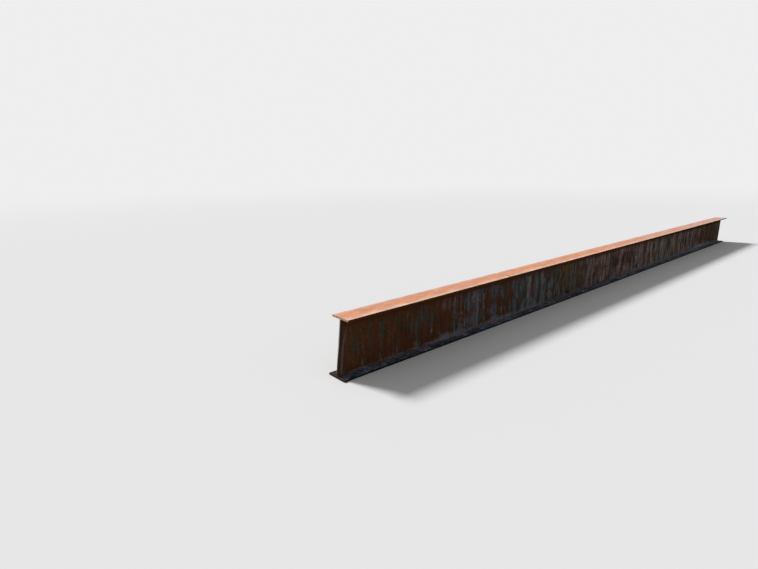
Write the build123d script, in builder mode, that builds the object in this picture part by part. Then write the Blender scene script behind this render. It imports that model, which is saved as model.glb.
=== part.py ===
from build123d import *
import os

# Steel girder: one hot-rolled wide-flange beam, a tall I section.
# The high-X end is cut square. The low-X end was cut a little off square, so its foot reaches
# the full length and its top stops short.
# Millimetres, +Z up. The origin is the middle of the underside of the bottom flange.
# The beam runs along X, its flanges spread along Y, and its web stands along Z.

# Stock
LENGTH = 9144.0
DEPTH = 457.0

# Off-square cut: how far the top of the low-X end stops short of its foot
LOW_END_LEAN = 48.0

# Section
FLANGE_WIDTH = 190.0
FLANGE_THICKNESS = 14.5
WEB_THICKNESS = 9.0
ROOT_RADIUS = 10.2
TOE_RADIUS = 2.0

# Places that follow from the sizes above
FLANGE_MIDDLE = FLANGE_THICKNESS / 2
WEB_MIDDLE = DEPTH / 2
WEB_HEIGHT = DEPTH - 2 * FLANGE_THICKNESS
LOW_END = -LENGTH / 2


def distance_from_web_plane(corner):
    """How far a corner of the section lies from the middle plane of the web."""
    return abs(corner.X)


# The girder: two flanges joined by the web, drawn on the cross plane and run out both ways
with BuildPart() as girder:
    with BuildSketch(Plane.YZ) as section:
        with Locations((0, FLANGE_MIDDLE), (0, DEPTH - FLANGE_MIDDLE)):
            Rectangle(FLANGE_WIDTH, FLANGE_THICKNESS)
        with Locations((0, WEB_MIDDLE)):
            Rectangle(WEB_THICKNESS, WEB_HEIGHT)
        corners = section.vertices().group_by(distance_from_web_plane)
        root_corners = corners[0]
        toe_corners = corners[-1]
        # The rolls leave a wide root fillet at the web and a small round on each flange toe
        fillet(root_corners, ROOT_RADIUS)
        fillet(toe_corners, TOE_RADIUS)
    extrude(amount=LENGTH / 2, both=True)
    # The off-square cut takes a wedge off the low-X end, right across the flanges
    with BuildSketch(Plane.XZ) as wedge:
        Polygon(
            (LOW_END, 0),
            (LOW_END + LOW_END_LEAN, DEPTH),
            (LOW_END, DEPTH),
            align=None,
        )
    extrude(amount=FLANGE_WIDTH, both=True, mode=Mode.SUBTRACT)

girder.part.label = "girder"
os.makedirs("parts", exist_ok=True)
export_step(girder.part, "parts/girder.step")

# What one length weighs in plain carbon steel, to set against the rolling tables
STEEL_DENSITY = 7.85e-6
mass = girder.part.volume * STEEL_DENSITY
print(f"girder {mass:.1f} kg, {mass / LENGTH * 1000:.1f} kg for each metre")
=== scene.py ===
import math
import random
from collections import namedtuple

import bmesh
import bpy
from mathutils import Matrix, Vector, geometry, noise


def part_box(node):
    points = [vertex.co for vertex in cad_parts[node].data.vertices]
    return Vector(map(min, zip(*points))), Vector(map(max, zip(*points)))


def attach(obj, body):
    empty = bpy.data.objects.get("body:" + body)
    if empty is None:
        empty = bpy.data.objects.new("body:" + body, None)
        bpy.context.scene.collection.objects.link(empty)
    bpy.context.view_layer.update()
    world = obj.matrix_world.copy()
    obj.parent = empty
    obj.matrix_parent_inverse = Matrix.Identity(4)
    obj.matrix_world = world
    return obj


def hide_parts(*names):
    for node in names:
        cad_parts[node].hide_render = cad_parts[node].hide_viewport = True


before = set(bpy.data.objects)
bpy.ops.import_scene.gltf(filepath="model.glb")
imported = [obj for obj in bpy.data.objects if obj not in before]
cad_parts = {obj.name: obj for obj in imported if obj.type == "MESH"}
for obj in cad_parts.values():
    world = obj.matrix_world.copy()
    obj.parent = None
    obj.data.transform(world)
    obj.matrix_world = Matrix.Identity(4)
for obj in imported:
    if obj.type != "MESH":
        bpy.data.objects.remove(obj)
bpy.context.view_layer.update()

# A used steel girder: one rolled wide-flange beam, rusted and dusty, lying on a pale studio floor.
# Metres, +Z up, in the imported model's frame: the beam runs along X and its web stands on Z.

_, HIGH_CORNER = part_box("girder")
HALF_LENGTH = HIGH_CORNER.x
HALF_WIDTH = HIGH_CORNER.y
DEPTH = HIGH_CORNER.z

# Section sizes that the box doesn't give
FLANGE_THICKNESS = 0.0145
HALF_WEB = 0.0045
ROOT_RADIUS = 0.0102
TOE_RADIUS = 0.002

# How far the top of the low-X end stops short of its foot
LOW_END_LEAN = 0.048

# Sides of the web and halves of its height
BACK, FRONT = 1, -1
TOP, BOTTOM = 1, -1

SEED = 1827


# Camera, at the photograph's place and angle

CAMERA_PLACE = Vector((-6.391, -2.597, 1.498))
CAMERA_HEADING = math.radians(49.27)
CAMERA_PITCH = math.radians(14.159)
CAMERA_ROLL = math.radians(0.611)
CAMERA_LENS = 22.39
CAMERA_REACH = 500.0
SENSOR_WIDTH = 36.0


def add_camera():
    """Stand the camera at a photographer's eye height beyond the near end of the beam."""
    forward = Vector((
        math.cos(CAMERA_PITCH) * math.cos(CAMERA_HEADING),
        math.cos(CAMERA_PITCH) * math.sin(CAMERA_HEADING),
        -math.sin(CAMERA_PITCH),
    ))
    level_right = Vector((math.sin(CAMERA_HEADING), -math.cos(CAMERA_HEADING), 0.0))
    level_down = forward.cross(level_right)
    right = math.cos(CAMERA_ROLL) * level_right + math.sin(CAMERA_ROLL) * level_down
    down = math.cos(CAMERA_ROLL) * level_down - math.sin(CAMERA_ROLL) * level_right
    data = bpy.data.cameras.new("camera")
    data.sensor_width = SENSOR_WIDTH
    data.lens = CAMERA_LENS
    data.clip_end = CAMERA_REACH
    camera = bpy.data.objects.new("camera", data)
    turn = Matrix((right, -down, -forward)).transposed()
    camera.matrix_world = Matrix.Translation(CAMERA_PLACE) @ turn.to_4x4()
    bpy.context.scene.collection.objects.link(camera)
    bpy.context.scene.camera = camera


add_camera()

bpy.context.scene.view_settings.view_transform = "Standard"


class Nodes:
    """A short way to write a node tree: each method adds nodes and gives back the last one's output."""

    def __init__(self, owner):
        owner.use_nodes = True
        self.tree = owner.node_tree
        self.tree.nodes.clear()

    def add(self, kind, inputs=None, **settings):
        """Any node, given back whole."""
        node = self.tree.nodes.new(kind)
        for name, value in settings.items():
            setattr(node, name, value)
        for name, value in (inputs or {}).items():
            self.put(node.inputs[name], value)
        return node

    def put(self, socket, value):
        if isinstance(value, bpy.types.NodeSocket):
            self.tree.links.new(value, socket)
        elif isinstance(value, tuple) and len(value) == 3 and socket.type == "RGBA":
            socket.default_value = (*value, 1.0)
        else:
            socket.default_value = value

    def maths(self, operation, first, second=0.0, third=0.0):
        return self.add("ShaderNodeMath", {0: first, 1: second, 2: third}, operation=operation).outputs[0]

    def times(self, first, second):
        return self.maths("MULTIPLY", first, second)

    def plus(self, first, second):
        return self.maths("ADD", first, second)

    def weighed(self, values, weights):
        """The sum of the values, each times its weight."""
        total = self.times(values[0], weights[0])
        for value, weight in zip(values[1:], weights[1:]):
            total = self.plus(total, self.times(value, weight))
        return total

    def sway(self, pattern, size):
        """A pattern as a shift of up to half the size either way."""
        return self.maths("MULTIPLY_ADD", pattern, size, -size / 2)

    def ease(self, value, first, last, to_first=0.0, to_last=1.0):
        """A soft step: to_first while the value is before first, to_last once it is past last."""
        inputs = {"Value": value, "From Min": first, "From Max": last, "To Min": to_first, "To Max": to_last}
        return self.add("ShaderNodeMapRange", inputs, interpolation_type="SMOOTHSTEP").outputs[0]

    def length(self, vector):
        return self.add("ShaderNodeVectorMath", {0: vector}, operation="LENGTH").outputs["Value"]

    def stretch(self, place, scale, shift):
        """The place, each way times its own scale and then shifted."""
        inputs = {0: place, 1: scale, 2: shift}
        return self.add("ShaderNodeVectorMath", inputs, operation="MULTIPLY_ADD").outputs[0]

    def noise(self, place, scale, detail, output="Fac"):
        inputs = {"Vector": place, "Scale": float(scale), "Detail": float(detail)}
        return self.add("ShaderNodeTexNoise", inputs).outputs[output]

    def blend(self, share, first, second):
        """The first colour where the share is 0 and the second where it is 1."""
        return self.add("ShaderNodeMix", {0: share, 6: first, 7: second}, data_type="RGBA").outputs[2]

    def shade(self, colour, factor):
        """The colour made darker or lighter by a factor."""
        return self.add("ShaderNodeVectorMath", {0: colour, "Scale": factor}, operation="SCALE").outputs[0]

    def vary(self, colour, pattern, change):
        """The colour made darker or lighter as the pattern goes, by a soft step."""
        return self.shade(colour, self.ease(pattern, *change))

    def ramp(self, value, stops, low, high):
        """Colours that follow the value, given as (value, colour) pairs between low and high."""
        share = self.add("ShaderNodeMapRange", {"Value": value, "From Min": low, "From Max": high}).outputs[0]
        node = self.add("ShaderNodeValToRGB", {0: share})
        band = node.color_ramp.elements
        band.remove(band[1])
        band[0].position = 0.0
        band[0].color = (*stops[0][1], 1.0)
        for at, colour in stops:
            band.new((at - low) / (high - low)).color = (*colour, 1.0)
        return node.outputs[0]


# Light and floor

WHITE = (1.0, 1.0, 1.0)
PALE = (0.86, 0.86, 0.86)
FILL_LEVEL = 0.3
KEY_STRENGTH = 3.3
KEY_SPREAD = math.radians(12.0)
KEY_TRAVEL = Vector((0.163, -0.725, -0.669))
FLOOR_COLOUR = (0.8, 0.8, 0.8)
FLOOR_BOUNCE = (0.42, 0.42, 0.42)
FLOOR_REACH = 150.0
FADE_START = 9.0
FADE_END = 30.0


def seen_directly(nodes):
    """One for rays that come from the eye, or from it by way of a mirror or glass."""
    path = nodes.add("ShaderNodeLightPath").outputs
    shiny = nodes.maths("MAXIMUM", path["Is Glossy Ray"], path["Is Transmission Ray"])
    return nodes.maths("MAXIMUM", path["Is Camera Ray"], shiny)


def mix_shaders(nodes, share, first, second):
    return nodes.add("ShaderNodeMixShader", {0: share, 1: first.outputs[0], 2: second.outputs[0]})


def add_world():
    """A soft fill for the beam, behind a plain pale backdrop."""
    world = bpy.data.worlds.new("studio")
    bpy.context.scene.world = world
    nodes = Nodes(world)
    fill = nodes.add("ShaderNodeBackground", {"Color": WHITE, "Strength": FILL_LEVEL})
    backdrop = nodes.add("ShaderNodeBackground", {"Color": PALE, "Strength": 1.0})
    mix = mix_shaders(nodes, seen_directly(nodes), fill, backdrop)
    nodes.add("ShaderNodeOutputWorld", {"Surface": mix.outputs[0]})


def add_key_light():
    data = bpy.data.lights.new("key", "SUN")
    data.energy = KEY_STRENGTH
    data.angle = KEY_SPREAD
    key = bpy.data.objects.new("key", data)
    key.rotation_euler = KEY_TRAVEL.to_track_quat("-Z", "Y").to_euler()
    bpy.context.scene.collection.objects.link(key)


def floor_material():
    """Pale and plain, and further out the backdrop's own colour."""
    material = bpy.data.materials.new("studio_floor")
    nodes = Nodes(material)
    place = nodes.add("ShaderNodeTexCoord").outputs["Object"]
    seen = seen_directly(nodes)
    fade = nodes.times(nodes.ease(nodes.length(place), FADE_START, FADE_END), seen)
    surface = nodes.add("ShaderNodeBsdfDiffuse", {"Color": nodes.blend(seen, FLOOR_BOUNCE, FLOOR_COLOUR)})
    backdrop = nodes.add("ShaderNodeEmission", {"Color": PALE, "Strength": 1.0})
    mix = mix_shaders(nodes, fade, surface, backdrop)
    nodes.add("ShaderNodeOutputMaterial", {"Surface": mix.outputs[0]})
    return material


def add_floor():
    """A level floor that takes the shadow near the beam and turns into the backdrop further out."""
    corners = [(-1, -1), (1, -1), (1, 1), (-1, 1)]
    mesh = bpy.data.meshes.new("floor")
    mesh.from_pydata([(x * FLOOR_REACH, y * FLOOR_REACH, 0) for x, y in corners], [], [(0, 1, 2, 3)])
    floor = bpy.data.objects.new("floor", mesh)
    bpy.context.scene.collection.objects.link(floor)
    mesh.materials.append(floor_material())


add_world()
add_key_light()
add_floor()


# Section of the beam, as a closed ring of points

SectionPoint = namedtuple("SectionPoint", "y z into_y into_z face")

# How far apart the points lie on the web, the flange's faces and its toe, and how many steps each arc has
RingPlan = namedtuple("RingPlan", "web flange toe root_steps toe_steps")

MIDDLE = DEPTH / 2
INNER_FACE = DEPTH - FLANGE_THICKNESS
FILLET_END = HALF_WEB + ROOT_RADIUS
GUARD = 0.0015


def straight(start, end, into, face, spacing):
    """Points from start up to end, without end, and on a coarse run one close to each corner."""
    length = math.dist(start, end)
    steps = max(1, round(length / spacing))
    shares = {i / steps for i in range(steps)}
    if spacing > 2 * GUARD:
        shares |= {GUARD / length, 1 - GUARD / length}
    return [
        SectionPoint(start[0] + t * (end[0] - start[0]), start[1] + t * (end[1] - start[1]), *into, face)
        for t in sorted(shares)
    ]


def arc(centre, radius, first, last, steps, hollow, face):
    """Points along an arc, without its last. The steel lies outside a hollow arc and inside any other."""
    points = []
    for i in range(steps):
        angle = math.radians(first + (last - first) * i / steps)
        out = (math.cos(angle), math.sin(angle))
        sign = 1 if hollow else -1
        points.append(SectionPoint(
            centre[0] + radius * out[0], centre[1] + radius * out[1], sign * out[0], sign * out[1], face
        ))
    return points


def section_ring(plan):
    """The whole outline, from the web's middle on the back side, over the top flange and round."""
    toe = HALF_WIDTH - TOE_RADIUS
    root = INNER_FACE - ROOT_RADIUS
    toe_low, toe_high = INNER_FACE + TOE_RADIUS, DEPTH - TOE_RADIUS
    quarter = straight((HALF_WEB, MIDDLE), (HALF_WEB, root), (-1, 0), "web", plan.web)
    quarter += arc((FILLET_END, root), ROOT_RADIUS, 180, 90, plan.root_steps, True, "root")
    quarter += straight((FILLET_END, INNER_FACE), (toe, INNER_FACE), (0, 1), "inner", plan.flange)
    quarter += arc((toe, toe_low), TOE_RADIUS, -90, 0, plan.toe_steps, False, "toe")
    quarter += straight((HALF_WIDTH, toe_low), (HALF_WIDTH, toe_high), (-1, 0), "toe", plan.toe)
    quarter += arc((toe, toe_high), TOE_RADIUS, 0, 90, plan.toe_steps, False, "toe")
    quarter += straight((toe, DEPTH), (0, DEPTH), (0, -1), "outer", plan.flange)
    quarter.append(SectionPoint(0, DEPTH, 0, -1, "outer"))

    def mirrored(over_y, over_z):
        side = -1 if over_y else 1
        way = -1 if over_z else 1
        return [
            SectionPoint(side * p.y, MIDDLE + way * (p.z - MIDDLE), side * p.into_y, way * p.into_z, p.face)
            for p in quarter
        ]

    return (
        quarter[:-1]
        + mirrored(True, False)[:0:-1]
        + mirrored(True, True)[:-1]
        + mirrored(False, True)[:0:-1]
    )


def ring_lengths(ring):
    """How far along the outline each point lies, and the length of the whole outline."""
    lengths = [0.0]
    for here, there in zip(ring, ring[1:] + ring[:1]):
        lengths.append(lengths[-1] + math.dist((here.y, here.z), (there.y, there.z)))
    return lengths[:-1], lengths[-1]


# Soft noise in the shapes: how fine it is, and a layer of its own that keeps it apart from the rest

Lumps = namedtuple("Lumps", "fineness layer")
COARSE_PITS = Lumps(14, 3)
FINE_PITS = Lumps(45, 8)
FLANGE_WAVES = Lumps(0.9, 11)
CUT_WAVES = Lumps(11, 20)
DRAG_PATCHES = Lumps(30, 31)
DUST_BROAD = Lumps(1.7, 41)
DUST_CLOSE = Lumps(12.0, 47)
DUST_FINE = Lumps(45.0, 53)
DUST_BUMPS = Lumps(90, 60)
BOW_FINENESS = 0.8
BOW_LAYER = 5
WOBBLE_FINENESS = 60
WOBBLE_LAYER = 9


def lumps(x, y, z, kind, shift=0):
    """Soft noise between 0 and 1."""
    fine = kind.fineness
    layer = kind.layer + shift
    return 0.5 + 0.5 * noise.noise(Vector((x * fine, y * fine + layer, z * fine)))


# Wear: every change goes into the steel, so the beam stays inside its box

PIT_DEPTH = 0.0005
COARSE_PIT_SHARE = 0.7
FINE_PIT_SHARE = 0.3
PITS_ON_LEDGE = 1.6
FLANGE_DIP = 0.0014
WEB_BOW = 0.0012
Nick = namedtuple("Nick", "x side level half_length depth")
NICK_REACH = 0.012
NICK_INNER_SHARE = 0.25
NICK_PRESS = 0.35
NICK_SHARPNESS = 1.5

# The two that the photograph shows, then some that handling leaves on any such beam
NICKS = [
    Nick(-2.574, FRONT, TOP, 0.020, 0.0025),
    Nick(-2.527, BACK, TOP, 0.034, 0.0085),
]
RANDOM_NICKS = 16
NICK_SPREAD = (0.2, 0.8)
NICK_HALF_LENGTHS = (0.012, 0.034)
NICK_DEPTHS = (0.0012, 0.0034)


def add_random_nicks():
    draw = random.Random(SEED)
    for i in range(RANDOM_NICKS):
        side = draw.choice((BACK, FRONT))
        level = draw.choice((TOP, TOP, BOTTOM))
        spread = (i + draw.uniform(*NICK_SPREAD)) / RANDOM_NICKS
        x = -HALF_LENGTH + 2 * HALF_LENGTH * spread
        half_length = draw.uniform(*NICK_HALF_LENGTHS)
        NICKS.append(Nick(x, side, level, half_length, draw.uniform(*NICK_DEPTHS)))


add_random_nicks()


def nick_depth(x, side, level):
    """How deep the edge is worn at this place along the beam."""
    depth = 0.0
    for nick in NICKS:
        share = (x - nick.x) / nick.half_length
        if nick.side == side and nick.level == level and abs(share) < 1:
            depth = max(depth, nick.depth * (1 - share * share) ** NICK_SHARPNESS)
    return depth


def corner_of(point):
    """Which of the four toes a point of the section belongs to, as its side and its level."""
    return BACK if point.y > 0 else FRONT, TOP if point.z > MIDDLE else BOTTOM


def worn_place(x, point, nicks):
    """Where a point of the section ends up at x, after rolling, handling and rust."""
    side, level = corner_of(point)
    y, z = point.y, point.z
    coarse = COARSE_PIT_SHARE * lumps(x, y, z, COARSE_PITS)
    pit = PIT_DEPTH * (coarse + FINE_PIT_SHARE * lumps(x, y, z, FINE_PITS))
    if point.face == "inner" and level == BOTTOM:
        pit *= PITS_ON_LEDGE
    y += pit * point.into_y
    z += pit * point.into_z
    overhang = max(0.0, (abs(point.y) - FILLET_END) / (HALF_WIDTH - FILLET_END))
    z -= level * FLANGE_DIP * overhang ** 2 * lumps(x, 0, 0, FLANGE_WAVES, 3 * side + 7 * level)
    if overhang == 0:
        height = (point.z - FLANGE_THICKNESS) / (INNER_FACE - FLANGE_THICKNESS)
        bow = WEB_BOW * noise.noise(Vector((x * BOW_FINENESS, 0, BOW_LAYER)))
        y += bow * max(0.0, math.sin(math.pi * height))
    near_edge = (abs(point.y) - HALF_WIDTH + NICK_REACH) / NICK_REACH
    depth = nicks[side, level]
    if depth and near_edge > 0:
        outer_share = abs(abs(point.z - MIDDLE) - (INNER_FACE - MIDDLE)) / FLANGE_THICKNESS
        y -= side * depth * near_edge * (NICK_INNER_SHARE + (1 - NICK_INNER_SHARE) * outer_share)
        z -= level * NICK_PRESS * depth * near_edge * outer_share
    return Vector((x, y, z))


# Torch-cut ends

CUT_DEPTH = 0.0016
DRAG_PITCH = 0.0044
DRAG_DEPTH = 0.0006
WEB_LAG = 18
FLANGE_LAG = 0.15
DRAG_WOBBLE = 0.4
GOUGES = 5
GOUGES_IN_WEB = 0.5
GOUGE_MARGIN = 0.05
GOUGE_REACH = 0.085
GOUGE_RADII = (0.003, 0.006)
GOUGE_DEPTHS = (0.0015, 0.003)
CUT_GRAIN = 0.00125
CUT_MARGIN = 0.0016
CUT_STATIONS = (0.030, 0.014, 0.006, 0.0024, 0.0008)
CUT_SHOWS = 0.001
FLANGE_ROWS = 5
WEB_ROWS = 4
LIP = 0.0004
FULL_DENT = 0.003
INSIDE_ONLY = 1
MERGE_DISTANCE = 1e-7


def make_gouges(end):
    """Places on the outline's face where the torch dug deeper, as (y, z, radius, depth)."""
    draw = random.Random(SEED + end)
    flange_middles = (FLANGE_THICKNESS / 2, DEPTH - FLANGE_THICKNESS / 2)
    gouges = []
    for _ in range(GOUGES):
        if draw.random() < GOUGES_IN_WEB:
            place = (0.0, draw.uniform(GOUGE_MARGIN, DEPTH - GOUGE_MARGIN))
        else:
            place = (draw.uniform(-GOUGE_REACH, GOUGE_REACH), draw.choice(flange_middles))
        gouges.append((*place, draw.uniform(*GOUGE_RADII), draw.uniform(*GOUGE_DEPTHS)))
    return gouges


def cut_depth(y, z, end, gouges):
    """How far the torch-cut face lies inside the box at this place of the section."""
    in_web = FLANGE_THICKNESS < z < INNER_FACE and abs(y) < FILLET_END
    along, across = (z, y) if in_web else (y, z)
    wander = CUT_DEPTH * lumps(y, z, 0, CUT_WAVES, end)
    lag = WEB_LAG * across * across if in_web else FLANGE_LAG * across
    wobble = DRAG_WOBBLE * noise.noise(Vector((along * WOBBLE_FINENESS, end * WOBBLE_LAYER, 0)))
    phase = (along + lag) / DRAG_PITCH + wobble
    strength = lumps(along, 0, 0, DRAG_PATCHES, end)
    groove = DRAG_DEPTH * strength * abs(math.sin(math.pi * phase))
    depth = wander + groove
    for gouge_y, gouge_z, radius, dug in gouges:
        share = math.dist((y, z), (gouge_y, gouge_z)) / radius
        if share < 1:
            depth += dug * (1 - share * share) ** 2
    return depth


class Skin:
    """The growing mesh: its points, its faces and what each point knows for the material and the map."""

    def __init__(self):
        self.places = []
        self.faces = []
        self.known = []
        self.cap_faces = {}

    def add_point(self, place, along, **known):
        self.places.append(place)
        self.known.append({"along": along, **known})
        return len(self.places) - 1

    def add_ring(self, ring, x, **known):
        """One ring of points across the beam at x, worn as it is there."""
        nicks = {(s, l): nick_depth(x, s, l) for s in (BACK, FRONT) for l in (TOP, BOTTOM)}
        lengths, _ = ring_lengths(ring)
        row = []
        for point, along in zip(ring, lengths):
            dent = min(1.0, nicks[corner_of(point)] / FULL_DENT)
            row.append(self.add_point(
                worn_place(x, point, nicks),
                along,
                outer=float(point.face == "outer"),
                toe=float(point.face == "toe"),
                dent=dent * float(abs(point.y) > HALF_WIDTH - NICK_REACH),
                **known,
            ))
        return row

    def join(self, first, second):
        """Faces between two rings with as many points."""
        count = len(first)
        for i in range(count):
            j = (i + 1) % count
            self.faces.append((first[i], second[i], second[j], first[j]))

    def stitch(self, first, second, outline):
        """Faces between two rings with different numbers of points."""
        def reach(row, i):
            return self.known[row[i]]["along"] if i < len(row) else outline
        i = j = 0
        while i < len(first) or j < len(second):
            here, there = first[i % len(first)], second[j % len(second)]
            if j >= len(second) or (i < len(first) and reach(first, i + 1) <= reach(second, j + 1)):
                i += 1
                self.faces.append((here, there, first[i % len(first)]))
            else:
                j += 1
                self.faces.append((here, there, second[j % len(second)]))

    def cap(self, row, ring, end, gouges):
        """The cut face inside a ring, with enough points for the drag lines to show."""
        outline = [Vector((p.y, p.z)) for p in ring]
        edges = [(i, (i + 1) % len(outline)) for i in range(len(outline))]
        points = outline + cut_grid()
        mesh = geometry.delaunay_2d_cdt(points, edges, [], INSIDE_ONLY, MERGE_DISTANCE)
        places, _, faces, origins = mesh[:4]
        index = []
        for place, origin in zip(places, origins):
            if origin and origin[0] < len(row):
                index.append(row[origin[0]])
                continue
            x = end * (HALF_LENGTH - cut_depth(place.x, place.y, end, gouges))
            inner = Vector((x, place.x, place.y))
            index.append(self.add_point(inner, 0.0, outer=0.0, toe=0.0, dent=0.0, cut=1.0))
        for face in faces:
            self.faces.append([index[i] for i in face])
            self.cap_faces[len(self.faces) - 1] = end


def cut_grid():
    """Points inside the section's outline, close along each plate and a few across it."""
    points = []
    across = HALF_WIDTH - CUT_MARGIN
    for level in (0.0, INNER_FACE):
        for row in range(1, FLANGE_ROWS):
            z = level + FLANGE_THICKNESS * row / FLANGE_ROWS
            for i in range(int(2 * across / CUT_GRAIN) + 1):
                y = -HALF_WIDTH + CUT_MARGIN + i * CUT_GRAIN
                if abs(y) < across:
                    points.append(Vector((y, z)))
    count = int((INNER_FACE - FLANGE_THICKNESS) / CUT_GRAIN)
    for row in range(1, WEB_ROWS):
        y = HALF_WEB * (2 * row / WEB_ROWS - 1)
        for i in range(1, count):
            points.append(Vector((y, FLANGE_THICKNESS + i * CUT_GRAIN)))
    return points


# The steel's finish. Colours are the surface's own, as they show in plain light, apart from the painted shade
# and painted light noted where they stand

RUST_DEEP = (0.052, 0.024, 0.015)
RUST_LOW = (0.078, 0.033, 0.018)
RUST = (0.124, 0.051, 0.024)
RUST_RED = (0.125, 0.036, 0.022)
RUST_OLIVE = (0.075, 0.060, 0.034)
SHADED_ORANGE = (0.105, 0.032, 0.010)
# The front's dust colours are partly painted shade: the blue of shade lit by the sky
FOOT_DUST_AND_SKY_SHADE = (0.190, 0.182, 0.208)
LEDGE_DUST_AND_SKY_SHADE = (0.102, 0.118, 0.160)
HIGH_TOE = (0.100, 0.036, 0.014)
DEEP_SHADE = (0.030, 0.011, 0.003)
# Painted shade: the front toe of the bottom flange, near black
LOW_TOE_PAINTED_SHADE = (0.020, 0.021, 0.025)
BACK_DUST = (0.190, 0.165, 0.145)
BACK_LEDGE = (0.128, 0.108, 0.094)
BACK_LOW_TOE = (0.060, 0.044, 0.035)
FOOT_SOIL = (0.086, 0.054, 0.040)
LEDGE_TEAL = (0.062, 0.080, 0.088)
CUT_TAN = (0.520, 0.390, 0.300)
CUT_PALE = (0.600, 0.530, 0.465)
CUT_RUST = (0.170, 0.090, 0.050)
# Painted shadow: the lower part of the cut ends
CUT_PAINTED_SHADOW = (0.040, 0.030, 0.025)

TONES = {
    "blue": (0.110, 0.125, 0.155),
    "teal": (0.060, 0.080, 0.078),
    "mauve": (0.190, 0.130, 0.125),
    "pink": (0.230, 0.125, 0.115),
    "pale": (0.260, 0.235, 0.235),
    "dark": (0.070, 0.042, 0.034),
    "orange": (0.200, 0.085, 0.022),
    "olive": (0.095, 0.095, 0.055),
    "umber": (0.088, 0.060, 0.038),
}

# Marks on the front of the web that stand out, placed one by one: old mill scale that shows blue or teal
# through the rust, its blue and teal partly the painted blue of the shade, pale runs where rain has washed
# down, and rust that is darker or brighter. Each is (x, z, half_x, half_z, strength)
MARKS = {
    "blue": [
        (-3.005, 0.315, 0.13, 0.105, 0.92), (-2.995, 0.11, 0.12, 0.085, 0.85),
        (-2.685, 0.32, 0.085, 0.1, 0.88), (-2.71, 0.12, 0.08, 0.1, 0.95), (-2.34, 0.31, 0.07, 0.09, 0.8),
        (-2.36, 0.12, 0.07, 0.08, 0.85), (-1.97, 0.17, 0.05, 0.15, 0.8), (-1.165, 0.145, 0.08, 0.085, 0.95),
    ],
    "teal": [
        (-4.13, 0.29, 0.018, 0.14, 0.6), (-4.375, 0.18, 0.05, 0.04, 0.5), (-3.775, 0.19, 0.07, 0.09, 0.8),
        (-3.675, 0.3, 0.07, 0.08, 0.6), (-3.605, 0.23, 0.05, 0.08, 0.6), (-2.2, 0.18, 0.07, 0.13, 0.8),
        (-1.89, 0.23, 0.04, 0.18, 0.9), (-0.185, 0.2, 0.06, 0.13, 0.6),
    ],
    "mauve": [
        (-3.335, 0.325, 0.12, 0.06, 0.55), (-1.135, 0.31, 0.06, 0.09, 0.6), (0.05, 0.1, 0.14, 0.05, 0.6),
        (0.915, 0.25, 0.17, 0.17, 1.0), (2.235, 0.26, 0.08, 0.15, 0.95), (1.96, 0.18, 0.06, 0.07, 0.55),
        (2.635, 0.31, 0.12, 0.05, 0.7),
    ],
    "pink": [
        (-3.335, 0.035, 0.12, 0.02, 0.9), (-3.015, 0.08, 0.012, 0.07, 0.8), (-2.66, 0.06, 0.01, 0.05, 0.8),
        (-2.04, 0.035, 0.1, 0.022, 0.9), (-0.655, 0.29, 0.05, 0.1, 0.8), (-0.435, 0.265, 0.1, 0.12, 0.85),
    ],
    "pale": [
        (-4.335, 0.05, 0.009, 0.045, 0.6), (-4.155, 0.06, 0.008, 0.035, 0.45),
        (-3.755, 0.06, 0.05, 0.03, 0.5), (-2.99, 0.32, 0.08, 0.07, 0.35), (-2.955, 0.09, 0.01, 0.08, 0.55),
        (-2.715, 0.1, 0.012, 0.09, 0.6), (-2.7, 0.04, 0.05, 0.03, 0.6), (-2.4, 0.11, 0.012, 0.1, 0.55),
        (-2.195, 0.07, 0.012, 0.06, 0.65), (-2.075, 0.21, 0.04, 0.24, 0.65), (-1.83, 0.27, 0.025, 0.17, 0.6),
        (-1.66, 0.085, 0.05, 0.05, 0.5), (-0.755, 0.21, 0.045, 0.25, 0.65), (0.63, 0.31, 0.07, 0.07, 0.6),
        (0.69, 0.16, 0.05, 0.12, 0.7), (0.75, 0.07, 0.07, 0.045, 0.8), (1.325, 0.24, 0.05, 0.14, 0.6),
        (2.24, 0.07, 0.07, 0.04, 0.8), (2.86, 0.07, 0.06, 0.04, 0.9), (3.035, 0.27, 0.05, 0.14, 0.5),
        (3.3, 0.085, 0.06, 0.05, 0.6), (3.62, 0.095, 0.07, 0.065, 0.9), (3.74, 0.065, 0.16, 0.05, 1.0),
    ],
    "dark": [
        (-2.52, 0.24, 0.09, 0.14, 0.6), (-0.895, 0.24, 0.075, 0.2, 0.9), (-0.54, 0.145, 0.055, 0.12, 0.9),
        (-0.285, 0.23, 0.06, 0.14, 0.45), (0.14, 0.27, 0.05, 0.13, 0.45), (0.29, 0.225, 0.24, 0.09, 0.75),
        (1.2, 0.17, 0.07, 0.17, 0.95), (1.495, 0.24, 0.04, 0.13, 0.55), (1.655, 0.19, 0.06, 0.1, 0.55),
        (1.8, 0.29, 0.05, 0.09, 0.75), (2.085, 0.26, 0.05, 0.13, 0.6), (2.855, 0.23, 0.08, 0.11, 0.95),
        (3.31, 0.2, 0.1, 0.1, 0.4), (3.14, 0.3, 0.05, 0.08, 0.55), (3.48, 0.3, 0.07, 0.08, 0.55),
    ],
    "orange": [
        (-1.35, 0.33, 0.12, 0.045, 0.7),
    ],
    "olive": [
        (-1.28, 0.17, 0.13, 0.12, 0.65), (-0.945, 0.17, 0.11, 0.14, 0.65), (2.465, 0.24, 0.16, 0.06, 0.6),
        (3.21, 0.32, 0.2, 0.04, 0.6),
    ],
    "umber": [
        (-1.58, 0.31, 0.13, 0.06, 0.7), (4.07, 0.22, 0.6, 0.34, 0.95),
    ],
}
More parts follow.
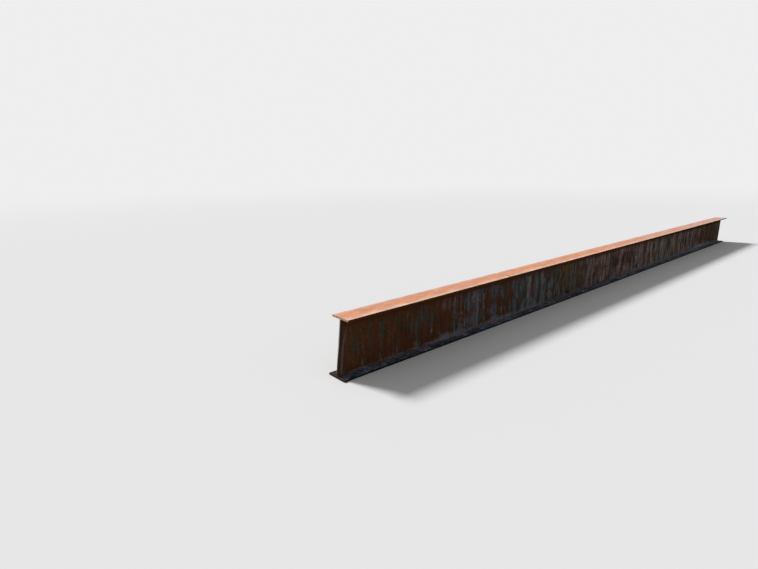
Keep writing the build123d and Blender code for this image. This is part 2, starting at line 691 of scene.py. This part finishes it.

# How much of the web is bloomed over with dust and old scale along the beam, and in which colour; the front's
# blue-greys are partly the painted blue of the shade
BLOOM_SHARE = [
    (-4.57, 0.10), (-3.65, 0.12), (-3.50, 0.15), (-3.26, 0.42), (-2.56, 0.34), (-2.21, 0.60), (-1.66, 0.58),
    (-0.86, 0.64), (-0.57, 0.66), (0.63, 0.68), (1.23, 0.78), (2.91, 0.72), (3.51, 0.45), (3.71, 0.16),
    (4.57, 0.28),
]
BROWN_GREY = (0.095, 0.075, 0.060)
SCORCH_AND_SHADE = (0.050, 0.040, 0.031)
ASH = (0.135, 0.100, 0.082)
BLUE_GREY = (0.125, 0.120, 0.125)
GREEN_BLUE_GREY = (0.095, 0.110, 0.110)
OLIVE_GREY = (0.100, 0.086, 0.060)
MAUVE_GREY = (0.172, 0.124, 0.110)
GREEN_GREY = (0.168, 0.148, 0.118)
BLOOM_AND_SKY_SHADE_COLOUR = [
    (-4.57, BROWN_GREY), (-3.06, BLUE_GREY), (-1.86, GREEN_BLUE_GREY), (-1.26, OLIVE_GREY),
    (-0.57, MAUVE_GREY), (0.93, MAUVE_GREY), (1.62, GREEN_GREY), (2.62, MAUVE_GREY), (3.41, OLIVE_GREY),
]

# How thickly dust lies along the foot of the web
FOOT_SHARE = [
    (-4.57, 0.15), (-3.88, 0.24), (-3.75, 0.55), (-3.62, 0.26), (-3.41, 1.00), (-3.24, 0.95), (-3.10, 0.50),
    (-2.86, 0.36), (-2.70, 0.90), (-2.56, 0.60), (-2.06, 0.75), (-1.56, 0.42), (-0.92, 0.26), (-0.68, 0.46),
    (-0.38, 0.24), (-0.10, 0.55), (0.43, 0.60), (0.75, 0.95), (0.95, 0.64), (2.02, 0.85), (2.82, 0.95),
    (3.51, 1.00), (3.92, 1.00), (4.16, 0.70), (4.57, 0.30),
]

# Where the dust on the foot is palest
PALE_FOOT = 3.57

# The top flange's sun-bleached primer across its width, from the front edge to the rear edge, much lighter
# than the web's rust partly as painted sunlight
CREAM = (0.84, 0.60, 0.47)
BEIGE = (0.65, 0.40, 0.30)
WARM_BEIGE = (0.82, 0.475, 0.325)
SALMON = (0.70, 0.350, 0.230)
ORANGE_CORE = (0.73, 0.320, 0.185)
PINK_SALMON = (0.72, 0.400, 0.295)
DUSTY_PINK = (0.66, 0.390, 0.310)
TOP_NEAR = [
    (-0.095, CREAM), (-0.086, CREAM), (-0.074, WARM_BEIGE), (-0.030, SALMON), (0.015, ORANGE_CORE),
    (0.055, SALMON), (0.075, PINK_SALMON),
]
TOP_FAR = [(-0.095, BEIGE), (-0.084, CREAM), (-0.068, BEIGE), (-0.010, DUSTY_PINK), (0.090, DUSTY_PINK)]
TOP_RED = (0.74, 0.290, 0.200)
TOP_WORN = (0.46, 0.42, 0.41)
TOP_LUMP_AND_SHADOW = (0.150, 0.110, 0.060)

# Spots on it, each as (colour, x, y, half_x, half_y, strength)
SPOTS = [
    (TOP_RED, -0.705, -0.01, 0.12, 0.06, 0.8),
    (TOP_RED, 0.08, 0.00, 0.10, 0.05, 0.8),
    (TOP_RED, 2.20, 0.03, 0.20, 0.10, 0.8),
    # A small lump on the flange, painted as a dark spot together with its painted shadow
    (TOP_LUMP_AND_SHADOW, -2.564, -0.060, 0.016, 0.0224, 0.95),
]

# Noise patterns: how fine and how detailed each is, and how the place is scaled and shifted for it
Pattern = namedtuple("Pattern", "fineness detail stretch", defaults=(None,))
UPRIGHT = ((1.0, 1.0, 0.10), (0.0, 0.0, 0.0))
ALONG_TOP = ((0.35, 1.0, 1.0), (0.0, 0.0, 5.0))
FINE = Pattern(240, 3)
MOTTLE = Pattern(42, 5)
CLOUD = Pattern(7, 4)
STREAKS = Pattern(34, 4, UPRIGHT)
THIN_STREAKS = Pattern(120, 3, UPRIGHT)
PATCHES = Pattern(13, 3, ((1.0, 1.0, 0.40), (1.3, 0.0, 0.7)))
DRIFTS = Pattern(17, 3, ((1.0, 1.0, 0.30), (5.1, 0.0, 2.9)))
RUNS = Pattern(11, 2, ((1.0, 1.0, 0.08), (0.0, 0.0, 0.0)))
OLIVE_PATCHES = Pattern(12, 4, ((1.0, 1.0, 0.35), (3.7, 0.0, 1.1)))
PITS = Pattern(110, 4)
LENGTHWISE = Pattern(30, 5, ALONG_TOP)
RED_FLECKS = Pattern(85, 3, ALONG_TOP)
WANDER = Pattern(11, 4)

# How much of each pattern goes into a mix
EVEN = (0.5, 0.5)
MORE_OF_FIRST = (0.6, 0.4)
BLOOM_MIX = (0.35, 0.20, 0.45)
BUMP_MIX = (0.5, 0.6)
CUT_MIX = 0.5

# How far a mark's or a spot's soft edge reaches, as shares of its half sizes, and how far it wanders
MARK_OUTSIDE, MARK_INSIDE = 1.25, 0.55
SPOT_OUTSIDE, SPOT_INSIDE = 1.3, 0.5
MARK_BEND = 0.2
MOST_BEND = 2.4

# Soft steps for Nodes.ease: (first, last) or (first, last, to_first, to_last).
# These follow a pattern and say where a colour shows
RUST_SHOWS = (0.36, 0.62)
RED_SHOWS = (0.50, 0.62, 0.0, 0.75)
OLIVE_SHOWS = (0.53, 0.66, 0.0, 0.7)
PITS_SHOW = (0.60, 0.68, 0.0, 0.6)
BLOOM_SHOWS = (0.465, 0.545)
BREAKUP = (0.38, 0.55)
RED_FLECKS_SHOW = (0.60, 0.72, 0.0, 0.40)
FOOT_BREAKUP = (0.38, 0.6, 0.25, 1.1)
LEDGE_DUSTY = (0.4, 0.6)
LEDGE_PATCHY = (0.42, 0.62, 0.0, 0.5)
TEAL_SHOWS = (0.54, 0.66, 0.0, 0.6)
CUT_RUST_SHOWS = (0.44, 0.58)
FLAKE_EDGES = (0.46, 0.54)
STEEL_ROUGHNESS = (0.35, 0.65, 0.72, 0.92)

# These make a colour darker where a pattern is low and lighter where it is high
SCORCH_AND_SHADE_CHANGE = (0.35, 0.65, 0.75, 1.25)
ASH_CHANGE = (0.3, 0.7, 0.85, 1.25)
BLOOM_CHANGE = (0.36, 0.64, 0.45, 1.50)
BLOOM_GRAIN = (0.3, 0.7, 0.82, 1.18)
RUN_CHANGE = (0.40, 0.60, -0.36, 0.42)
FLECK_CHANGE = (0.40, 0.60, -0.30, 0.34)
THIN_STREAK_CHANGE = (0.32, 0.68, 0.80, 1.22)
WEB_GRAIN = (0.3, 0.7, 0.88, 1.12)
LENGTHWISE_CHANGE = (0.30, 0.70, 0.86, 1.12)
TOP_GRAIN = (0.3, 0.7, 0.93, 1.07)
LEDGE_CHANGE = (0.36, 0.64, 0.42, 1.50)
LEDGE_BROAD_CHANGE = (0.38, 0.62, 0.72, 1.30)
TOE_CHANGE = (0.35, 0.65, 0.6, 1.4)

# These follow x, y and the height, in metres
FURTHER_ALONG = (-1.2, 0.2)
TOP_TURNS_PINK = (-1.0, 3.5)
SHADE_DEEPENS = (0.6, 3.4)
CORNER_WORN = (4.56, 4.64)
PALE_FOOT_REACH = (0.55, 0.25, 0.0, 0.9)
ON_FRONT = (0.001, -0.001)
BLOOM_BEHIND = (-0.001, 0.001, 1.0, 0.7)
LEDGE_START = (0.013, 0.020)
CUT_PALE_WIDTH = (0.0080, 0.0055)
BLOOM_BELOW = (0.17, 0.07, 0.0, 0.035)
FOOT_EDGE = (0.030, -0.008)
LEDGE_TOP = (0.020, 0.016)
UPPER_HALF = (MIDDLE - 0.01, MIDDLE + 0.01)
UNDER_FLANGE = (0.350, 0.406, 0.0, 0.95)
CUT_RUST_BELOW = (0.10, 0.30, 0.36, 0.16)
CUT_PALE_ABOVE = (0.442, 0.434, 0.0, 0.9)
CUT_SHADOW_BELOW = (0.27, 0.10, 0.0, 0.9)

# These follow the distance from the low-X cut or its ash line, and the height of that line
SCORCH_AND_SHADE_REACH = (0.036, 0.022, 0.0, 0.85)
ASH_EDGE = (0.016, 0.005)
ASH_OFFSET = (0.22, 0.36, -0.037, -0.057)
ASH_STRENGTH = (0.40, 0.22, 0.35, 0.95)

# How far patterns move an edge
BLOOM_SWAY = 0.28
CUT_WAVER = 0.012
TOP_SWAY = 0.05
RAGGED = 0.05
CORNER_SLANT = -2.2
CORNER_WAVER = 0.12
FOOT_RISE = 0.05

DENT_RUST = 0.8
BUMP_STRENGTH = 0.5
BUMP_HEIGHT = 0.0008
SHEEN = 0.01


class Steel(Nodes):
    """The node tree of the girder's finish, with methods for its faces and for what lies on them."""

    def __init__(self, material):
        super().__init__(material)
        self.place = self.add("ShaderNodeTexCoord").outputs["Object"]
        self.stretched = {None: self.place}
        self.x, self.y, self.z = self.add("ShaderNodeSeparateXYZ", {0: self.place}).outputs
        self.front = self.ease(self.y, *ON_FRONT)
        self.fine = self.pattern(FINE)
        self.mottle = self.pattern(MOTTLE)
        self.cloud = self.pattern(CLOUD)
        self.streak = self.pattern(STREAKS)
        self.patch = self.pattern(PATCHES)
        self.drift = self.pattern(DRIFTS)
        self.thin_streak = self.pattern(THIN_STREAKS)
        self.run = self.pattern(RUNS)
        self.wander = self.stretch(self.pattern(WANDER, "Color"), (1.0, 0.0, 1.0), (-0.5, 0.0, -0.5))

    def pattern(self, kind, output="Fac"):
        """A noise pattern over the steel. Those stretched alike share a node: a shader has room for few."""
        if kind.stretch not in self.stretched:
            self.stretched[kind.stretch] = self.stretch(self.place, *kind.stretch)
        return self.noise(self.stretched[kind.stretch], kind.fineness, kind.detail, output)

    def along(self, shares):
        """A share that changes along the beam, given as (x, share) pairs."""
        return self.ramp(self.x, [(x, (s, s, s)) for x, s in shares], -HALF_LENGTH, HALF_LENGTH)

    def rust(self):
        """Brown rust in patches of deep, red and olive brown."""
        grain = self.weighed((self.mottle, self.streak), EVEN)
        colour = self.blend(self.ease(grain, *RUST_SHOWS), RUST_LOW, RUST)
        red = self.weighed((self.cloud, self.drift), MORE_OF_FIRST)
        colour = self.blend(self.ease(red, *RED_SHOWS), colour, RUST_RED)
        colour = self.blend(self.ease(self.pattern(OLIVE_PATCHES), *OLIVE_SHOWS), colour, RUST_OLIVE)
        return self.blend(self.ease(self.pattern(PITS), *PITS_SHOW), colour, RUST_DEEP)

    def bloom(self):
        """The colour of the dust and old scale on the web, its blue-greys on the front partly the painted
        blue of the shade.
        """
        colour = self.ramp(self.x, BLOOM_AND_SKY_SHADE_COLOUR, -HALF_LENGTH, HALF_LENGTH)
        colour = self.blend(self.front, BROWN_GREY, colour)
        colour = self.vary(colour, self.drift, BLOOM_CHANGE)
        return self.vary(colour, self.fine, BLOOM_GRAIN)

    def bloom_share(self):
        """Where the bloom lies over the rust: as BLOOM_SHARE says along the beam, in upright streaks."""
        grain = self.weighed((self.streak, self.mottle, self.patch), BLOOM_MIX)
        level = self.sway(self.along(BLOOM_SHARE), BLOOM_SWAY)
        level = self.plus(level, self.ease(self.z, *BLOOM_BELOW))
        return self.ease(self.plus(grain, level), *BLOOM_SHOWS)

    def mark_share(self, x, z, half_x, half_z, strength):
        """A soft patch with a wandering outline."""
        local = self.stretch(self.place, (1 / half_x, 0.0, 1 / half_z), (-x / half_x, 0.0, -z / half_z))
        bend = min(MOST_BEND, MARK_BEND / half_x)
        local = self.stretch(self.wander, (bend, 0.0, bend), local)
        return self.ease(self.length(local), MARK_OUTSIDE, MARK_INSIDE, 0.0, strength)

    def add_marks(self, colour):
        """The marks over the web's colour, one tone after the other, on the front alone."""
        breakup = self.ease(self.weighed((self.streak, self.mottle), MORE_OF_FIRST), *BREAKUP)
        for tone, tint in TONES.items():
            shares = [self.mark_share(*mark) for mark in MARKS[tone]]
            most = shares[0]
            for share in shares[1:]:
                most = self.maths("MAXIMUM", most, share)
            most = self.times(self.times(most, breakup), self.front)
            colour = self.blend(most, colour, tint)
        return colour

    def web(self):
        """The web's two sides: rust, its bloom, and on the front the marks."""
        bloom = self.bloom()
        share = self.times(self.bloom_share(), self.ease(self.y, *BLOOM_BEHIND))
        colour = self.add_marks(self.blend(share, self.rust(), bloom))
        further = self.ease(self.x, *FURTHER_ALONG)
        flecks = self.weighed((self.cloud, self.mottle), EVEN)
        for pattern, change in ((self.run, RUN_CHANGE), (flecks, FLECK_CHANGE)):
            factor = self.maths("MULTIPLY_ADD", further, self.ease(pattern, *change), 1.0)
            colour = self.shade(colour, factor)
        colour = self.vary(colour, self.thin_streak, THIN_STREAK_CHANGE)
        return self.vary(colour, self.fine, WEB_GRAIN)

    def dust_and_sky_shade_colour(self):
        """Dust at the foot: on the front tinted with the painted blue of the shade, plain on the back."""
        return self.blend(self.front, BACK_DUST, FOOT_DUST_AND_SKY_SHADE)

    def add_foot(self, colour, height):
        """Dust along the foot of the web, over the web's colour."""
        dusty = self.along(FOOT_SHARE)
        share = self.ease(self.maths("MULTIPLY_ADD", dusty, -FOOT_RISE, height), *FOOT_EDGE)
        share = self.times(self.times(share, dusty), self.ease(self.drift, *FOOT_BREAKUP))
        from_patch = self.maths("ABSOLUTE", self.maths("SUBTRACT", self.x, PALE_FOOT))
        paler = self.times(self.ease(from_patch, *PALE_FOOT_REACH), self.front)
        return self.blend(share, colour, self.shade(self.dust_and_sky_shade_colour(), self.plus(paler, 1.0)))

    def ledge(self):
        """The upper side of the bottom flange: a film of dust, thicker in patches, and some teal scale. On
        the front the dust is tinted with the painted blue of the shade.
        """
        film = self.blend(self.front, BACK_LEDGE, LEDGE_DUST_AND_SKY_SHADE)
        colour = self.blend(self.ease(self.cloud, *LEDGE_DUSTY), film, self.dust_and_sky_shade_colour())
        colour = self.blend(self.ease(self.patch, *LEDGE_PATCHY), film, colour)
        teal = self.times(self.ease(self.drift, *TEAL_SHOWS), self.front)
        colour = self.blend(teal, colour, LEDGE_TEAL)
        colour = self.vary(colour, self.mottle, LEDGE_CHANGE)
        return self.vary(colour, self.cloud, LEDGE_BROAD_CHANGE)

    def beside_cut(self, colour):
        """Along the leaning cut: a strip scorched dark by the torch, which over the ledge's end is also
        painted shade, then a line of pale ash.
        """
        from_foot = self.plus(self.x, HALF_LENGTH)
        from_cut = self.maths("MULTIPLY_ADD", self.z, -LOW_END_LEAN / DEPTH, from_foot)
        from_cut = self.plus(from_cut, self.sway(self.mottle, CUT_WAVER))
        scorch_and_shade = self.vary(SCORCH_AND_SHADE, self.streak, SCORCH_AND_SHADE_CHANGE)
        colour = self.blend(self.ease(from_cut, *SCORCH_AND_SHADE_REACH), colour, scorch_and_shade)
        off_line = self.maths("ABSOLUTE", self.plus(from_cut, self.ease(self.z, *ASH_OFFSET)))
        ash = self.times(self.ease(off_line, *ASH_EDGE), self.ease(self.z, *ASH_STRENGTH))
        ash = self.times(ash, self.front)
        return self.blend(ash, colour, self.vary(ASH, self.fine, ASH_CHANGE))

    def toe(self, high, further):
        """The edges of the flanges, the top one's where high is 1. Painted shade: the front bottom toe near
        black, and the top toe darkening into DEEP_SHADE further along.
        """
        low_toe = self.blend(self.front, BACK_LOW_TOE, LOW_TOE_PAINTED_SHADE)
        high_toe = self.blend(further, HIGH_TOE, DEEP_SHADE)
        return self.vary(self.blend(high, low_toe, high_toe), self.mottle, TOE_CHANGE)

    def spot_share(self, x, y, half_x, half_y, strength):
        """A soft spot on the upper face."""
        local = self.stretch(self.place, (1 / half_x, 1 / half_y, 0.0), (-x / half_x, -y / half_y, 0.0))
        return self.ease(self.length(local), SPOT_OUTSIDE, SPOT_INSIDE, 0.0, strength)

    def top(self):
        """The upper face: bleached primer and dust, lighter partly as painted sunlight, orange along its
        middle and cream at its front edge.
        """
        across = self.plus(self.y, self.sway(self.cloud, TOP_SWAY))
        near = self.ramp(across, TOP_NEAR, -HALF_WIDTH, HALF_WIDTH)
        far = self.ramp(across, TOP_FAR, -HALF_WIDTH, HALF_WIDTH)
        colour = self.blend(self.ease(self.x, *TOP_TURNS_PINK), near, far)
        colour = self.vary(colour, self.pattern(LENGTHWISE), LENGTHWISE_CHANGE)
        colour = self.blend(self.ease(self.pattern(RED_FLECKS), *RED_FLECKS_SHOW), colour, TOP_RED)
        for tint, *spot in SPOTS:
            colour = self.blend(self.spot_share(*spot), colour, tint)
        corner = self.plus(self.x, self.times(self.y, CORNER_SLANT))
        corner = self.plus(corner, self.times(self.mottle, CORNER_WAVER))
        colour = self.blend(self.ease(corner, *CORNER_WORN), colour, TOP_WORN)
        return self.vary(colour, self.fine, TOP_GRAIN)

    def cut_face(self, out, height):
        """The torch-cut ends: tan and rust, pale at the top of the web, and dark lower down as painted
        shadow.
        """
        rusty = self.plus(self.times(self.mottle, CUT_MIX), self.ease(self.z, *CUT_RUST_BELOW))
        colour = self.blend(self.ease(rusty, *CUT_RUST_SHOWS), CUT_TAN, CUT_RUST)
        pale = self.times(self.ease(out, *CUT_PALE_WIDTH), self.ease(self.z, *CUT_PALE_ABOVE))
        colour = self.blend(pale, colour, CUT_PALE)
        return self.blend(self.ease(height, *CUT_SHADOW_BELOW), colour, CUT_PAINTED_SHADOW)

    def finish(self):
        """The whole colour: each face's own with painted shade under the top flange and on the toes, put
        together by height and by the mesh's notes on its points.
        """
        told = {}
        for name in POINT_NOTES:
            told[name] = self.add("ShaderNodeAttribute", attribute_name=name).outputs["Fac"]
        colour = self.web()
        height = self.plus(self.z, self.sway(self.streak, RAGGED))
        colour = self.add_foot(colour, height)
        ledge = self.ledge()
        out = self.maths("ABSOLUTE", self.y)
        on_ledge = self.times(self.ease(self.z, *LEDGE_TOP), self.ease(out, *LEDGE_START))
        colour = self.beside_cut(self.blend(on_ledge, colour, ledge))
        under = self.ease(height, *UNDER_FLANGE)
        further = self.ease(self.x, *SHADE_DEEPENS)
        colour = self.blend(under, colour, self.blend(further, SHADED_ORANGE, DEEP_SHADE))
        high = self.ease(self.z, *UPPER_HALF)
        colour = self.blend(told["toe"], colour, self.toe(high, further))
        colour = self.blend(self.times(told["outer"], high), colour, self.top())
        colour = self.blend(self.times(told["dent"], DENT_RUST), colour, RUST_DEEP)
        return self.blend(told["cut"], colour, self.cut_face(out, height))

    def bump(self):
        """Grain of the rust, with its flakes and pits, as a change in the shading."""
        flakes = self.ease(self.mottle, *FLAKE_EDGES)
        height = self.weighed((flakes, self.fine), BUMP_MIX)
        inputs = {"Strength": BUMP_STRENGTH, "Distance": BUMP_HEIGHT, "Height": height}
        return self.add("ShaderNodeBump", inputs).outputs[0]

    def add_shader(self, colour, roughness):
        shader = self.add("ShaderNodeBsdfPrincipled", {
            "Base Color": colour,
            "Roughness": roughness,
            "Normal": self.bump(),
            "Specular IOR Level": SHEEN,
        })
        self.add("ShaderNodeOutputMaterial", {"Surface": shader.outputs[0]})


def steel_material():
    material = bpy.data.materials.new("weathered_steel")
    steel = Steel(material)
    steel.add_shader(steel.finish(), steel.ease(steel.mottle, *STEEL_ROUGHNESS))
    return material


# The beam's own mesh

POINT_NOTES = ("outer", "toe", "dent", "cut")

BODY_PLAN = RingPlan(web=0.019, flange=0.0165, toe=0.0052, root_steps=5, toe_steps=3)
END_PLAN = RingPlan(web=CUT_GRAIN, flange=CUT_GRAIN, toe=CUT_GRAIN, root_steps=12, toe_steps=3)
BODY_SPACING = 0.027
LEAN_REACH = 0.30
NICK_SHARES = (-1.0, -0.6, -0.25, 0.0, 0.25, 0.6, 1.0)
SHARP_ANGLE = math.radians(38)

# The bake map: how high a strip is, where the band of the cut ends starts and how these lie in it
STRIP_HEIGHT = 0.465
CAP_BAND = 0.94
CAP_STARTS = {-1: 0.05, 1: 0.55}
CAP_MARGIN = 0.01
CAP_MAP_LENGTH = 0.75
CAP_MAP_WIDTH = 0.25
MAP_GAP = 0.002


def body_stations():
    """Where the rings of the plain run stand: evenly spaced, and closer together at each nick."""
    run = HALF_LENGTH - CUT_STATIONS[0]
    half_steps = round(run / BODY_SPACING)
    even = [run * i / half_steps for i in range(-half_steps, half_steps + 1)]
    kept = [x for x in even if x == 0 or abs(x) == run or all(abs(x - n.x) > n.half_length for n in NICKS)]
    for nick in NICKS:
        kept += [nick.x + share * nick.half_length for share in NICK_SHARES]
    return sorted(kept)


def add_end(skin, last, end, outline):
    """The finer run at one end, from the plain run's last ring up to the torch-cut face."""
    gouges = make_gouges(end)
    ring = section_ring(END_PLAN)
    before = None
    for distance in CUT_STATIONS[1:] + (0.0,):
        row = skin.add_ring(ring, end * (HALF_LENGTH - distance), cut=float(distance < CUT_SHOWS))
        squeeze = 1 - distance / CUT_STATIONS[0]
        for index, point in zip(row, ring):
            place = skin.places[index]
            place.x -= end * squeeze * cut_depth(point.y, point.z, end, gouges)
            if distance == 0.0:
                place.y += LIP * point.into_y
                place.z += LIP * point.into_z
        if before is None:
            skin.stitch(last, row, outline)
        else:
            skin.join(before, row)
        before = row
    skin.cap(before, ring, end, gouges)


def lean_low_end(places):
    """The low-X cut is off square: its top stops short of its foot."""
    for place in places:
        near_end = max(0.0, 1 - (place.x + HALF_LENGTH) / LEAN_REACH)
        place.x += LOW_END_LEAN * near_end * place.z / DEPTH


def build_skin():
    """The whole beam: a plain run, and at each end a finer run up to the torch-cut face."""
    skin = Skin()
    ring = section_ring(BODY_PLAN)
    _, outline = ring_lengths(ring)
    rows = [skin.add_ring(ring, x, cut=0.0) for x in body_stations()]
    for first, second in zip(rows, rows[1:]):
        skin.join(first, second)
    add_end(skin, rows[0], -1, outline)
    add_end(skin, rows[-1], 1, outline)
    lean_low_end(skin.places)
    return skin, outline


def map_place(skin, face_index, corner, wrapped, outline):
    """Where a face's corner lies on the bake map: two half-length strips, and a band for the cut ends."""
    place = skin.places[corner]
    if face_index in skin.cap_faces:
        u = CAP_STARTS[skin.cap_faces[face_index]] + place.z * CAP_MAP_LENGTH
        return u, CAP_BAND + CAP_MARGIN + (place.y + HALF_WIDTH) * CAP_MAP_WIDTH
    along = skin.known[corner]["along"]
    if wrapped and along < outline / 2:
        along += outline
    middle = sum(skin.places[i].x for i in skin.faces[face_index]) / len(skin.faces[face_index])
    u = place.x / HALF_LENGTH if middle > 0 else 1 + place.x / HALF_LENGTH
    v = along / outline * STRIP_HEIGHT + (CAP_BAND / 2 if middle > 0 else 0.0)
    return MAP_GAP + u * (1 - 2 * MAP_GAP), MAP_GAP + v


def map_beam(mesh, skin, outline):
    layer = mesh.uv_layers.new(name="OFBake")
    for polygon in mesh.polygons:
        alongs = [skin.known[i]["along"] for i in polygon.vertices]
        wrapped = max(alongs) - min(alongs) > outline / 2
        for loop, corner in zip(polygon.loop_indices, polygon.vertices):
            layer.data[loop].uv = map_place(skin, polygon.index, corner, wrapped, outline)


def face_outwards(mesh):
    form = bmesh.new()
    form.from_mesh(mesh)
    bmesh.ops.recalc_face_normals(form, faces=form.faces)
    form.to_mesh(mesh)
    form.free()


def add_girder():
    skin, outline = build_skin()
    mesh = bpy.data.meshes.new("girder_body")
    mesh.from_pydata(skin.places, [], skin.faces)
    for name in POINT_NOTES:
        layer = mesh.attributes.new(name, "FLOAT", "POINT")
        layer.data.foreach_set("value", [known[name] for known in skin.known])
    map_beam(mesh, skin, outline)
    face_outwards(mesh)
    mesh.shade_smooth()
    mesh.set_sharp_from_angle(angle=SHARP_ANGLE)
    body = bpy.data.objects.new("girder_body", mesh)
    bpy.context.scene.collection.objects.link(body)
    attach(body, "root")
    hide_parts("girder")
    mesh.materials.append(steel_material())


add_girder()


# Dust and scale washed down into the root of the bottom flange

DUST_SPACING = 0.019
DUST_STEPS = 5
DUST_UNDER_STEPS = 3
DUST_SINK = 0.0014
DUST_EDGE = 0.0004
DUST_REACH = 0.026
DUST_CLIMB = 0.016
DUST_CLIMB_POWER = 1.5
DUST_BUMP = 0.0016
DUST_STRIPS = 16
DUST_INSET = 0.012
DUST_TAPER = 0.15
DUST_SHARP_ANGLE = math.radians(50)

# How far the heap's surface sags into the corner, as shares of the root's radius
SAG_OUT = 0.45
SAG_UP = 0.35

# The heap's size, from the shares of three kinds of lumps, raised, lowered and kept above the least
BROAD_SHARE = 0.5
CLOSE_SHARE = 0.3
FINE_SHARE = 0.2
SWELL_GAIN = 2.6
SWELL_LOSS = 0.75
SWELL_LEAST = 0.12

# The dust's finish, as soft steps like the steel's
DUST_BREAKUP = (0.35, 0.65, -0.4, 0.4)
DUST_SHOWS = (-0.1, 1.1)
DUST_GRAIN = (0.3, 0.7, 0.75, 1.2)
DUST_ROUGHNESS = (0.3, 0.7, 0.85, 0.98)

# The heap's bake map: long strips, and a small round for each end face at the right edge
HEAP_ENDS = 2
HEAP_MAP_START = 0.002
HEAP_MAP_LENGTH = 0.985
STRIP_MARGIN = 0.05
STRIP_SHARE = 0.9
END_MAP_START = 0.995
END_MAP_WIDTH = 0.004
END_MAP_LIFT = 0.001
END_MAP_RADIUS = 0.4


def dust_size(x, side):
    """How big the heap is at x, between a thin line and a full one."""
    broad = BROAD_SHARE * lumps(x, 0, 0, DUST_BROAD, side)
    close = CLOSE_SHARE * lumps(x, 0, 0, DUST_CLOSE, side)
    fine = FINE_SHARE * lumps(x, 0, 0, DUST_FINE, side)
    swell = SWELL_GAIN * (broad + close + fine) - SWELL_LOSS
    taper = min(1.0, (HALF_LENGTH - abs(x)) / DUST_TAPER)
    return taper * max(SWELL_LEAST, min(1.0, swell))


def dust_ring(x, side):
    """A slice across the heap: its surface from the flange up to the web, then its underside back."""
    size = dust_size(x, side)
    corner = FLANGE_THICKNESS + ROOT_RADIUS
    foot = Vector((FILLET_END + DUST_REACH * size, FLANGE_THICKNESS - DUST_EDGE))
    head = Vector((HALF_WEB - DUST_EDGE, corner + DUST_CLIMB * size ** DUST_CLIMB_POWER))
    sag = Vector((HALF_WEB + SAG_OUT * ROOT_RADIUS, FLANGE_THICKNESS + SAG_UP * ROOT_RADIUS))
    ring = []
    for i in range(DUST_STEPS + 1):
        t = i / DUST_STEPS
        place = (1 - t) ** 2 * foot + 2 * t * (1 - t) * sag + t * t * head
        bump = DUST_BUMP * size * (lumps(x, place.x, place.y, DUST_BUMPS, side) - 0.5)
        ring.append(place + Vector((bump, bump)) * math.sin(math.pi * t))
    ring.append(Vector((HALF_WEB - DUST_SINK, head.y)))
    for i in range(DUST_UNDER_STEPS + 1):
        angle = math.radians(180 + 90 * i / DUST_UNDER_STEPS)
        out = Vector((math.cos(angle), math.sin(angle)))
        ring.append(Vector((FILLET_END, corner)) + (ROOT_RADIUS + DUST_SINK) * out)
    ring.append(Vector((foot.x, FLANGE_THICKNESS - DUST_SINK)))
    return [Vector((x, side * place.x, place.y)) for place in ring]


def dust_material():
    """Dust over soil, and more of it where the foot of the web is dusty too. On the front the dust is tinted
    with the painted blue of the shade.
    """
    material = bpy.data.materials.new("foot_dust")
    steel = Steel(material)
    grain = steel.ease(steel.weighed((steel.mottle, steel.drift), EVEN), *DUST_BREAKUP)
    share = steel.ease(steel.plus(grain, steel.along(FOOT_SHARE)), *DUST_SHOWS)
    colour = steel.vary(steel.blend(share, FOOT_SOIL, steel.dust_and_sky_shade_colour()), steel.fine, DUST_GRAIN)
    steel.add_shader(colour, steel.ease(steel.fine, *DUST_ROUGHNESS))
    return material


def end_map_place(end, i):
    """Where corner i of a heap's end face lies on the bake map."""
    u = 0.5 + END_MAP_RADIUS * math.cos(i)
    v = 0.5 + END_MAP_RADIUS * math.sin(i)
    return END_MAP_START + END_MAP_WIDTH * u, (end + v) / 2 + END_MAP_LIFT


def strip_map_place(face, ring, i, count, per_strip):
    """Where a corner of a heap's side face lies on the bake map: corner i of the ring, with count corners."""
    strip = face // count // per_strip
    if i == 0 and face % count == count - 1:
        i = count
    u = (ring - strip * per_strip) / per_strip
    v = (strip + STRIP_MARGIN + STRIP_SHARE * i / count) / DUST_STRIPS
    return HEAP_MAP_START + HEAP_MAP_LENGTH * u, v


def map_heap(mesh, count, per_strip):
    layer = mesh.uv_layers.new(name="OFBake")
    for polygon in mesh.polygons:
        for loop, corner in zip(polygon.loop_indices, polygon.vertices):
            ring, i = divmod(corner, count)
            if polygon.index < HEAP_ENDS:
                layer.data[loop].uv = end_map_place(polygon.index, i)
            else:
                face = polygon.index - HEAP_ENDS
                layer.data[loop].uv = strip_map_place(face, ring, i, count, per_strip)


def add_dust(name, side):
    """One heap along one side of the web, as a closed mesh sunk a little into the steel."""
    reach = HALF_LENGTH - DUST_INSET
    steps = DUST_STRIPS * math.ceil(2 * reach / DUST_SPACING / DUST_STRIPS)
    rings = [dust_ring(-reach + 2 * reach * i / steps, side) for i in range(steps + 1)]
    count = len(rings[0])
    places = [place for ring in rings for place in ring]
    faces = [tuple(reversed(range(count))), tuple(steps * count + i for i in range(count))]
    for step in range(steps):
        near, far = step * count, (step + 1) * count
        for i in range(count):
            j = (i + 1) % count
            faces.append((near + i, near + j, far + j, far + i))
    if side == FRONT:
        faces = [tuple(reversed(face)) for face in faces]
    mesh = bpy.data.meshes.new(name)
    mesh.from_pydata(places, [], faces)
    map_heap(mesh, count, steps // DUST_STRIPS)
    mesh.materials.append(dust_material())
    dust = bpy.data.objects.new(name, mesh)
    bpy.context.scene.collection.objects.link(dust)
    mesh.shade_smooth()
    mesh.set_sharp_from_angle(angle=DUST_SHARP_ANGLE)
    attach(dust, "root")


add_dust("foot_dust_front", FRONT)
add_dust("foot_dust_back", BACK)
